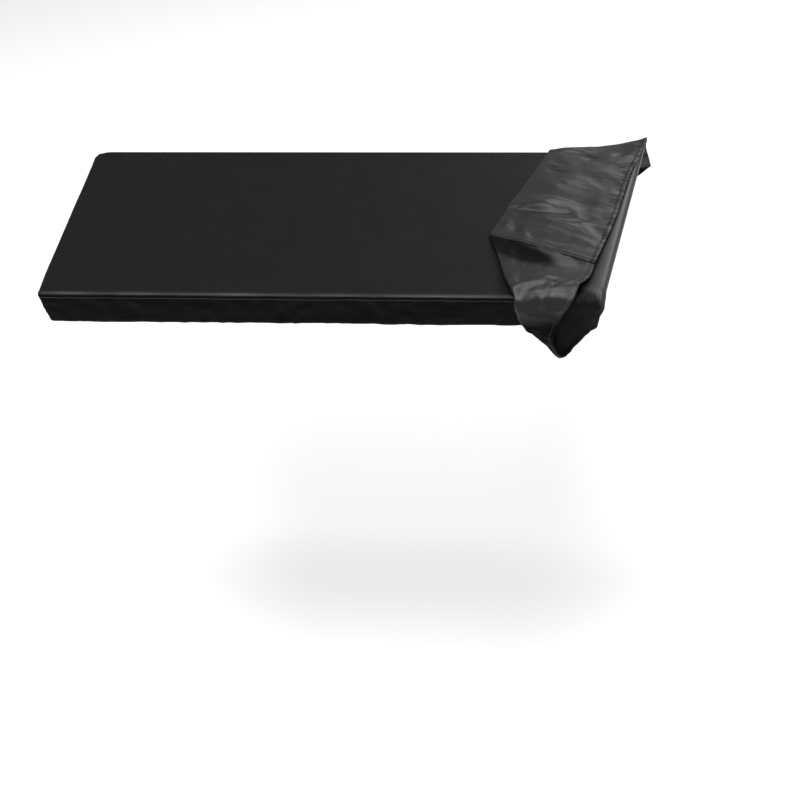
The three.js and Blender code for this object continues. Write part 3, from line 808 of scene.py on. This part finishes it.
def add_stitch(points, faces, start, end, out, width):
    """Adds a stitch to a mesh: a short tube that narrows at its ends and stands a little off the cloth."""
    across = (end - start).normalized().cross(out).normalized()
    first = len(points)
    for along, share in STITCH_RINGS:
        centre = start.lerp(end, along) + out * width * STITCH_STAND * share
        for side in range(STITCH_SIDES):
            angle = 2 * math.pi * side / STITCH_SIDES
            points.append(centre + (across * math.cos(angle) + out * math.sin(angle)) * width / 2 * share)
    last = len(points) - STITCH_SIDES
    for ring in range(first, last, STITCH_SIDES):
        for side in range(STITCH_SIDES):
            a, b = ring + side, ring + (side + 1) % STITCH_SIDES
            faces.append((a, a + STITCH_SIDES, b + STITCH_SIDES, b))
    faces.append(tuple(range(first, first + STITCH_SIDES)))
    faces.append(tuple(reversed(range(last, last + STITCH_SIDES))))


def make_stitches(name, lines, sizes, material):
    """Rows of short raised stitches along lines on the cloth."""
    pitch, length = sizes.stitch_pitch / MILLIMETRE, sizes.stitch_length / MILLIMETRE
    width = sizes.stitch_width / MILLIMETRE
    points, faces = [], []
    for line, ways in lines:
        far = np.append(0, np.linalg.norm(np.diff(line, axis=0), axis=1).cumsum())
        for middle in np.arange(pitch / 2, far[-1] - pitch / 2, pitch):
            start = read_line(line, far, middle - length / 2)
            end = read_line(line, far, middle + length / 2)
            out = read_line(ways, far, middle).normalized()
            add_stitch(points, faces, start, end, out, width)
    mesh = bpy.data.meshes.new(name)
    origin = Vector(ORIGIN)
    mesh.from_pydata([(point - origin) * MILLIMETRE for point in points], [], faces)
    mesh.materials.append(material)
    mesh.shade_smooth()
    return add_piece(name, mesh)


def add_node(material, kind, inputs=(), **settings):
    """A new shader node with its settings, and with values on its input sockets."""
    node = material.node_tree.nodes.new(f"ShaderNode{kind}")
    for name, value in settings.items():
        setattr(node, name, value)
    for socket, value in dict(inputs).items():
        node.inputs[socket].default_value = value
    return node


def link_nodes(material, links):
    """Links the outputs of nodes to the inputs of others."""
    for source, socket, target, goal in links:
        material.node_tree.links.new(source.outputs[socket], target.inputs[goal])


def new_material(name):
    """A new material with nodes, and its shader."""
    material = bpy.data.materials.new(name)
    material.use_nodes = True
    return material, material.node_tree.nodes["Principled BSDF"]


def cloth_material(name, plain, satin, rough, gloss):
    """Woven polyester: a fine plain weave, faint mottling, and, where its attribute says, a higher gloss with
    a brighter colour that is painted light.

    Its roughness and its gloss are pairs, for the plain cloth and for the glossy part with painted light.
    """
    found = bpy.data.materials.get(name)
    if found:
        return found
    material, shader = new_material(name)
    flat = add_node(material, "UVMap", uv_map="flat")
    share = add_node(material, "Attribute", attribute_name="satin")
    mottle = add_node(material, "TexNoise", {"Scale": 26, "Detail": 5, "Roughness": 0.6})
    crinkle = add_node(material, "TexNoise", {"Scale": 190, "Detail": 3})
    colour = add_node(material, "Mix", {"A": (*plain, 1), "B": (*satin, 1)}, data_type="RGBA")
    shade = {"From Min": 0.3, "From Max": 0.7, "To Min": 0.84, "To Max": 1.12}
    darker = add_node(material, "MapRange", shade)
    tint = add_node(material, "VectorMath", operation="SCALE")
    roughness = add_node(material, "MapRange", {"To Min": rough[0], "To Max": rough[1]})
    glossy = add_node(material, "MapRange", {"To Min": gloss[0], "To Max": gloss[1]})
    uneven = add_node(material, "Math", {1: UNEVEN_ROUGHNESS}, operation="MULTIPLY_ADD")
    evened = add_node(material, "Math", {1: -UNEVEN_ROUGHNESS / 2}, operation="ADD")
    wave = {"Scale": 320, "Distortion": 0.6, "Detail": 1}
    warp, weft = (add_node(material, "TexWave", wave, bands_direction=way) for way in ("X", "Y"))
    weave = add_node(material, "Math", operation="MAXIMUM")
    fine = add_node(material, "Bump", {"Strength": 0.35, "Distance": 0.00012})
    soft = add_node(material, "Bump", {"Strength": 0.2, "Distance": 0.0006})
    link_nodes(material, [
        (flat, "UV", mottle, "Vector"),
        (flat, "UV", crinkle, "Vector"),
        (flat, "UV", warp, "Vector"),
        (flat, "UV", weft, "Vector"),
        (share, "Fac", colour, "Factor"),
        (mottle, "Fac", darker, "Value"),
        (colour, "Result", tint, "Vector"),
        (darker, "Result", tint, "Scale"),
        (tint, "Vector", shader, "Base Color"),
        (share, "Fac", roughness, "Value"),
        (share, "Fac", glossy, "Value"),
        (glossy, "Result", shader, "Specular IOR Level"),
        (crinkle, "Fac", uneven, 0),
        (roughness, "Result", uneven, 2),
        (uneven, "Value", evened, 0),
        (evened, "Value", shader, "Roughness"),
        (warp, "Fac", weave, 0),
        (weft, "Fac", weave, 1),
        (weave, "Value", fine, "Height"),
        (crinkle, "Fac", soft, "Height"),
        (fine, "Normal", soft, "Normal"),
        (soft, "Normal", shader, "Normal"),
    ])
    return material


def thread_material(colour):
    """Sewing thread: dull black with a fine twist."""
    found = bpy.data.materials.get("sewing_thread")
    if found:
        return found
    material, shader = new_material("sewing_thread")
    shader.inputs["Base Color"].default_value = (*colour, 1)
    shader.inputs["Roughness"].default_value = 0.55
    thread = add_node(material, "TexCoord")
    twist = add_node(material, "TexNoise", {"Scale": 2600})
    bump = add_node(material, "Bump", {"Strength": 0.5, "Distance": 0.0002})
    link_nodes(material, [
        (thread, "Object", twist, "Vector"),
        (twist, "Fac", bump, "Height"),
        (bump, "Normal", shader, "Normal"),
    ])
    return material


class DustCoverSizes(bpy.types.PropertyGroup):
    """The sizes of the cloth, its hems and its stitches."""

    thickness: FloatProperty(
        name="Cloth thickness", description="How thick the cloth is", default=0.0008, unit="LENGTH"
    )
    hem_thickness: FloatProperty(
        name="Hem thickness", description="How thick the doubled hem is", default=0.0019, unit="LENGTH"
    )
    gather_height: FloatProperty(
        name="Gather height", description="How high the hem's folds stand", default=0.0022, unit="LENGTH"
    )
    stitch_pitch: FloatProperty(
        name="Stitch pitch", description="From one stitch to the next", default=0.0036, unit="LENGTH"
    )
    stitch_length: FloatProperty(
        name="Stitch length", description="How long a stitch shows", default=0.0029, unit="LENGTH"
    )
    stitch_width: FloatProperty(
        name="Stitch width", description="How thick the thread is", default=0.0006, unit="LENGTH"
    )


class DustCoverColours(bpy.types.PropertyGroup):
    """The colours of the cloth and thread."""

    top: FloatVectorProperty(
        name="Top", description="The dull black of the top", default=(0.0045, 0.0044, 0.0048), subtype="COLOR"
    )
    # The skirts' colour is darker than the top's: painted shade on the same cloth as the top
    skirt: FloatVectorProperty(
        name="Skirt", description="The dull skirts", default=(0.0016, 0.0016, 0.0017), subtype="COLOR"
    )
    # The brighter colour of the same cloth as the top, where the share of gloss and painted light is full:
    # painted light on the folded end and on the top's edges
    satin: FloatVectorProperty(
        name="Satin", description="The satin folded end", default=(0.0098, 0.0094, 0.0103), subtype="COLOR"
    )
    lining: FloatVectorProperty(
        name="Inside", description="The inside of the cloth", default=(0.03, 0.0292, 0.0315), subtype="COLOR"
    )
    # The skirts' inside is darker than the top's inside: painted shade on the same coated cloth
    skirt_lining: FloatVectorProperty(
        name="Skirt inside",
        description="The inside of the skirts",
        default=(0.0035, 0.0035, 0.0037),
        subtype="COLOR",
    )
    thread: FloatVectorProperty(
        name="Thread", description="The sewing thread", default=(0.03, 0.03, 0.031), subtype="COLOR"
    )


class StudioSettings(bpy.types.PropertyGroup):
    """The floor and lights."""

    floor_drop: FloatProperty(
        name="Floor", description="How far the floor lies below the cover", default=0.72, unit="LENGTH"
    )
    floor_colour: FloatVectorProperty(
        name="Floor colour", description="The pale floor", default=(0.92, 0.92, 0.92), subtype="COLOR"
    )
    key_power: FloatProperty(
        name="Key light", description="Power of the light overhead", default=165, unit="POWER"
    )
    back_power: FloatProperty(
        name="Back light", description="Power of the light behind", default=34, unit="POWER"
    )
    front_power: FloatProperty(
        name="Front light", description="Power of the light in front", default=105, unit="POWER"
    )
    sky: FloatProperty(name="Sky", description="Strength of the even light from all round", default=0.34)


def top_cloth(colours):
    """The outside of the top: dull black, with gloss and a painted highlight only on its rounded edges."""
    plain, satin = colours.top, colours.satin
    return cloth_material("matte_top_weave", plain, satin, rough=(0.5, 0.34), gloss=(0.09, 0.75))


def skirt_cloth(colours, name="matte_skirt_weave"):
    """The outside of the long skirts and the left one: dull where it hangs, in a darker colour that is
    painted shade, and glossy where it is folded back, in a brighter colour that is painted light.
    """
    return cloth_material(name, colours.skirt, colours.satin, rough=(0.42, 0.38), gloss=(0.05, 0.3))


def gloss_and_painted_light_cloth(colours):
    """The outside of the end skirt: glossy, in a brighter colour that is painted light, and dull along its
    seams.
    """
    return skirt_cloth(colours, "gloss_and_painted_light_weave")


def lining_cloth(colours):
    """The coated inside of the top and of the end skirt."""
    lining = colours.lining
    return cloth_material("coated_inside", lining, lining, rough=(0.36, 0.36), gloss=(0.4, 0.4))


def skirt_lining_cloth(colours):
    """The coated inside of the other skirts: darker than the top's inside as painted shade, and brighter
    where it is folded back and open to the light, as painted light.
    """
    plain, satin = colours.skirt_lining, colours.lining
    return cloth_material("coated_skirt_inside", plain, satin, rough=(0.5, 0.4), gloss=(0.08, 0.4))


def settle(piece, node, stitches):
    """Puts a finished panel in the place of its CAD node, with its stitches."""
    bpy.ops.object.select_all(action="DESELECT")
    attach(piece, "root")
    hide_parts(node)
    for row in stitches:
        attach(row, "root")


def finish_skirt(context, name, cloth, materials, satin=None, seam_stitches=SEAM_STITCHES):
    """Makes a skirt's sheet and its stitches along the seam and the hem, and settles them."""
    sizes, colours = context.scene.cover_sizes, context.scene.cover_colours
    thickness = cloth_thickness(cloth, sizes)
    piece = make_sheet(f"{name}_cloth", cloth, thickness, materials, satin)
    hem = cloth.down[:, -1]
    lines = [cloth.line_at(far, thickness) for far in (hem - HEM_STITCHES, np.full_like(hem, seam_stitches))]
    stitches = make_stitches(f"{name}_stitches", lines, sizes, thread_material(colours.thread))
    settle(piece, name, [stitches])


class COVER_OT_top_panel(bpy.types.Operator):
    """Makes the top, which covers, folds over on the right and lies doubled under the end skirt"""

    bl_idname = "cover.top_panel"
    bl_label = "Top panel"

    def execute(self, context):
        sizes, colours = context.scene.cover_sizes, context.scene.cover_colours
        cloth = Cloth(top_points(), outside=-1)
        x, y = cloth.down, cloth.along
        to_edge = np.minimum(y, y.max() - y)
        before_fold = 1 - smooth(np.arange(y.shape[1])[None] / len(MAIN_SHARES), 0.9, 1)
        away = smooth(to_edge, *TOP_CALM) * before_fold
        height = creases(cloth, TOP_CREASES)
        for swell, length, depth, seed in TOP_SWELLS:
            height += swell * soft_noise(x / length, y / depth, seed) * away
        for distance in (to_edge, x, cloth.from_hem):
            height += seam_lips(distance, TOP_LIPS)
        cloth.raise_by(height)
        thickness = cloth_thickness(cloth, sizes, hem=False)
        # Painted highlight and gloss along the top's front edge and, weaker, its left edge, uneven along them
        uneven = 0.25 + 0.14 * soft_noise(x / 45, y / 60, 12)
        sheen = uneven * (ridge(y, SHEEN_WIDTH) + LEFT_SHEEN * ridge(x, SHEEN_WIDTH))
        satin = (np.clip(sheen, 0, 1), np.zeros_like(sheen))
        materials = [top_cloth(colours), lining_cloth(colours)]
        piece = make_sheet("top_panel_cloth", cloth, thickness, materials, satin)
        settle(piece, "top_panel", [])
        return {"FINISHED"}


def make_long_skirt(context, name, points, outside, crease_rows, painted_shadow_rows, gloss_and_painted_light_from, seed):
    """Makes a skirt that hangs from the left corner on, and turns back with the folded end."""
    colours = context.scene.cover_colours
    cloth = Cloth(points, outside)
    stations = np.arange(len(points))[:, None]
    main = len(MAIN_SHARES)
    hangs = 1 - smooth(stations, main - STATIONS_TO_FOLD, main)
    gather = context.scene.cover_sizes.gather_height / MILLIMETRE
    wide = gathers(cloth, pitch=15, height=0.6 * gather, reach=34, seed=seed)
    fine = gathers(cloth, pitch=7, height=0.3 * gather, reach=12, seed=seed + 20)
    height = wide * smooth(cloth.down, *WIDE_GATHERS_FROM) * hangs
    height += fine * smooth(cloth.down, *FINE_GATHERS_FROM)
    end = cloth.along.max()
    corner = smooth(cloth.along, *(end - far for far in CALM_AT_CORNER))
    calm = 1 - 0.65 * smooth(cloth.down, *CALM_BELOW) * hangs
    calm *= smooth(cloth.down, 1 + 11 * corner, 12 + 22 * corner)
    calm *= 1 - 0.5 * np.exp(-cloth.from_hem / CALM_AT_HEM)
    height += crumple(cloth, widths=(30, 15, 7), height=5.2, seed=seed + 30) * calm
    height += gathers_at_seam(cloth, pitch=11, height=0.9, reach=9, seed=seed + 40) * hangs
    height += creases(cloth, crease_rows)
    height += seam_lips(cloth.down, 0.25)
    cloth.raise_by(height)
    # Painted shadow: darker, duller cloth in the deep fold under the front corner seam
    dull = np.clip(creases(cloth, painted_shadow_rows), 0, 1)
    # Painted light on the folded end's inside near its seam
    inside = (stations >= main) * (1 - smooth(cloth.down, 2, 16))
    # Gloss and painted light over the folded end, less where the painted shadow lies
    satin = (smooth(cloth.along, *gloss_and_painted_light_from) * (1 - dull), inside)
    materials = [skirt_cloth(colours), skirt_lining_cloth(colours)]
    finish_skirt(context, name, cloth, materials, satin)


class COVER_OT_front_skirt(bpy.types.Operator):
    """Makes the front skirt, which turns back with the folded end"""

    bl_idname = "cover.front_skirt"
    bl_label = "Front skirt"

    def execute(self, context):
        rows = {"crease_rows": FRONT_CREASES, "painted_shadow_rows": FRONT_PAINTED_SHADOW, "gloss_and_painted_light_from": FRONT_GLOSS_AND_PAINTED_LIGHT_FROM}
        make_long_skirt(context, "front_skirt", front_skirt_points(), outside=-1, seed=100, **rows)
        return {"FINISHED"}


class COVER_OT_back_skirt(bpy.types.Operator):
    """Makes the back skirt, which turns back with the folded end"""

    bl_idname = "cover.back_skirt"
    bl_label = "Back skirt"

    def execute(self, context):
        rows = {"crease_rows": BACK_CREASES, "painted_shadow_rows": [], "gloss_and_painted_light_from": BACK_GLOSS_AND_PAINTED_LIGHT_FROM}
        make_long_skirt(context, "back_skirt", back_skirt_points(), outside=1, seed=200, **rows)
        return {"FINISHED"}


class COVER_OT_left_skirt(bpy.types.Operator):
    """Makes the left skirt, which hangs at the end that still covers"""

    bl_idname = "cover.left_skirt"
    bl_label = "Left skirt"

    def execute(self, context):
        colours = context.scene.cover_colours
        cloth = Cloth(left_skirt_points(), outside=1)
        to_end = np.minimum(cloth.along, cloth.along.max() - cloth.along)
        gather = context.scene.cover_sizes.gather_height / MILLIMETRE
        height = gathers(cloth, pitch=15, height=gather, reach=34, seed=300)
        height *= smooth(cloth.down, *WIDE_GATHERS_FROM)
        height += crumple(cloth, widths=(30, 15, 7), height=4.5, seed=330) * smooth(cloth.down, 2, 16)
        height *= smooth(to_end, *LEFT_END_CALM)
        height += seam_lips(cloth.down, 0.4)
        cloth.raise_by(height)
        materials = [skirt_cloth(colours), skirt_lining_cloth(colours)]
        finish_skirt(context, "left_skirt", cloth, materials)
        return {"FINISHED"}


class COVER_OT_right_skirt(bpy.types.Operator):
    """Makes the end skirt, which lies back over the folded end and opens to the right"""

    bl_idname = "cover.right_skirt"
    bl_label = "Right skirt"

    def execute(self, context):
        colours = context.scene.cover_colours
        cloth = Cloth(right_skirt_points(), outside=-1)
        gather = context.scene.cover_sizes.gather_height / MILLIMETRE
        height = gathers(cloth, pitch=6, height=1.1 * gather, reach=13, seed=400)
        height += crumple(cloth, widths=(44, 20, 9), height=3.2, seed=430) * smooth(cloth.down, 14, 32)
        height -= END_GROOVE_DEPTH * ridge(cloth.down - END_SEAM_STITCHES, END_LINE_WIDTH)
        for far in CORNER_LIPS:
            lip = CORNER_LIP_HEIGHT * ridge(cloth.along - far, CORNER_LIP_WIDTH)
            height += lip * smooth(cloth.down, 8, 14)
        height += creases(cloth, END_CREASES)
        cloth.raise_by(height)
        # Gloss and painted light over the whole end skirt, less along its stitch lines and corner seams,
        # where it turns darker
        down_lines = (cloth.down - END_SEAM_STITCHES, cloth.from_hem - HEM_STITCHES)
        corner_lines = (cloth.along - CORNER_SEAM, cloth.along)
        satin = 1 - END_LINE_DULL * sum(ridge(off, END_LINE_WIDTH) for off in down_lines + corner_lines)
        materials = [gloss_and_painted_light_cloth(colours), lining_cloth(colours)]
        finish_skirt(
            context, "right_skirt", cloth, materials, (satin, satin), END_SEAM_STITCHES
        )
        return {"FINISHED"}


class COVER_OT_studio(bpy.types.Operator):
    """Makes the floor, the soft lights and the camera"""

    bl_idname = "cover.studio"
    bl_label = "Studio"

    def execute(self, context):
        studio = context.scene.cover_studio
        bpy.ops.object.select_all(action="DESELECT")
        bpy.ops.mesh.primitive_plane_add(size=FLOOR_SIZE, location=(0, 0, -studio.floor_drop))
        floor = context.active_object
        floor.name = "studio_floor"
        paint, shader = new_material("pale_floor")
        shader.inputs["Base Color"].default_value = (*studio.floor_colour, 1)
        shader.inputs["Roughness"].default_value = 0.9
        shader.inputs["Specular IOR Level"].default_value = 0.1
        floor.data.materials.append(paint)
        self.add_light("key_light", *KEY_LIGHT, studio.key_power)
        self.add_light("front_light", *FRONT_LIGHT, studio.front_power)
        self.add_light("back_light", *BACK_LIGHT, studio.back_power)
        world = bpy.data.worlds.new("studio_sky")
        world.use_nodes = True
        sky = world.node_tree.nodes["Background"]
        sky.inputs["Color"].default_value = (1, 1, 1, 1)
        sky.inputs["Strength"].default_value = studio.sky
        context.scene.world = world
        context.scene.view_settings.view_transform = "Standard"
        self.add_camera(context)
        return {"FINISHED"}

    def add_light(self, name, place_at, size, power):
        """Adds a soft square light that faces the cover."""
        bpy.ops.object.light_add(type="AREA", location=place_at)
        light = bpy.context.active_object
        light.name = name
        light.data.size = size
        light.data.energy = power
        light.rotation_euler = (-Vector(place_at)).to_track_quat("-Z", "Y").to_euler()

    def add_camera(self, context):
        """Adds the camera that sees the cover as the photo does."""
        pitch, yaw, roll = (math.radians(angle) for angle in CAMERA_ANGLES)
        ahead = Vector((math.sin(yaw) * math.cos(pitch), math.cos(yaw) * math.cos(pitch), -math.sin(pitch)))
        level = Vector((math.cos(yaw), -math.sin(yaw), 0))
        upright = level.cross(ahead)
        right = level * math.cos(roll) + upright * math.sin(roll)
        up = upright * math.cos(roll) - level * math.sin(roll)
        bpy.ops.object.camera_add()
        camera = context.active_object
        camera.name = "photo_camera"
        camera.data.lens = CAMERA_LENS
        camera.data.sensor_width = CAMERA_SENSOR
        turn = Matrix((right, up, -ahead)).transposed().to_4x4()
        camera.matrix_world = Matrix.Translation(CAMERA_PLACE) @ turn
        context.scene.camera = camera


class COVER_PT_panel(bpy.types.Panel):
    """Lists the cover's pieces, sizes and colours"""

    bl_label = "Dust cover"
    bl_idname = "COVER_PT_panel"
    bl_space_type = "VIEW_3D"
    bl_region_type = "UI"
    bl_category = "Dust cover"

    def draw(self, context):
        for settings in (context.scene.cover_sizes, context.scene.cover_colours, context.scene.cover_studio):
            box = self.layout.box()
            for name in settings.bl_rna.properties.keys():
                if name not in {"rna_type", "name"}:
                    box.prop(settings, name)
        for operator in STEPS:
            self.layout.operator(operator.bl_idname)


STEPS = (
    COVER_OT_top_panel,
    COVER_OT_front_skirt,
    COVER_OT_back_skirt,
    COVER_OT_left_skirt,
    COVER_OT_right_skirt,
    COVER_OT_studio,
)
SETTINGS = (DustCoverSizes, DustCoverColours, StudioSettings)
CLASSES = (*SETTINGS, *STEPS, COVER_PT_panel)


def register():
    """Makes the settings, the operators and the panel known to Blender."""
    for one in CLASSES:
        bpy.utils.register_class(one)
    bpy.types.Scene.cover_sizes = PointerProperty(type=DustCoverSizes)
    bpy.types.Scene.cover_colours = PointerProperty(type=DustCoverColours)
    bpy.types.Scene.cover_studio = PointerProperty(type=StudioSettings)


def unregister():
    """Takes back all that register did."""
    del bpy.types.Scene.cover_studio
    del bpy.types.Scene.cover_colours
    del bpy.types.Scene.cover_sizes
    for one in reversed(CLASSES):
        bpy.utils.unregister_class(one)


def main():
    """Makes the cover and its studio."""
    register()
    for step in STEPS:
        getattr(bpy.ops.cover, step.bl_idname.removeprefix("cover."))()
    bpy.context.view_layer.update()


if __name__ == "__main__":
    main()
